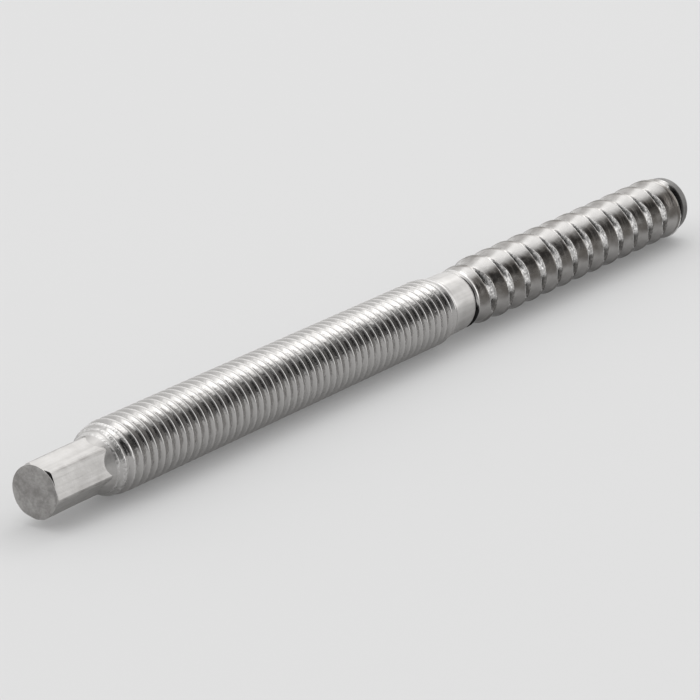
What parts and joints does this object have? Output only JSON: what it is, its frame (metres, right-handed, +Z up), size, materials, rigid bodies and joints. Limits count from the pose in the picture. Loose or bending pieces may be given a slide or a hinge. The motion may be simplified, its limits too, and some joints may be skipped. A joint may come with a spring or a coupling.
{
  "type": "hanger bolt",
  "caption": "Double-ended stainless bolt that joins metalwork to timber: hexagon drive end, fine machine thread, plain shank and coarse rolled wood thread.",
  "frame": {"origin": "under the middle of the bolt's length, on the surface that it lies on", "axes": "+X along the bolt from the hexagon end to the wood thread's tip, +Z up"},
  "size_m": [0.18, 0.012, 0.012],
  "materials": {
    "stainless_steel": "bare stainless steel, satin drawn flats and bright rolled threads"
  },
  "bodies": {
    "root": {"hanger_bolt": "stainless_steel"}
  },
  "joints": []
}
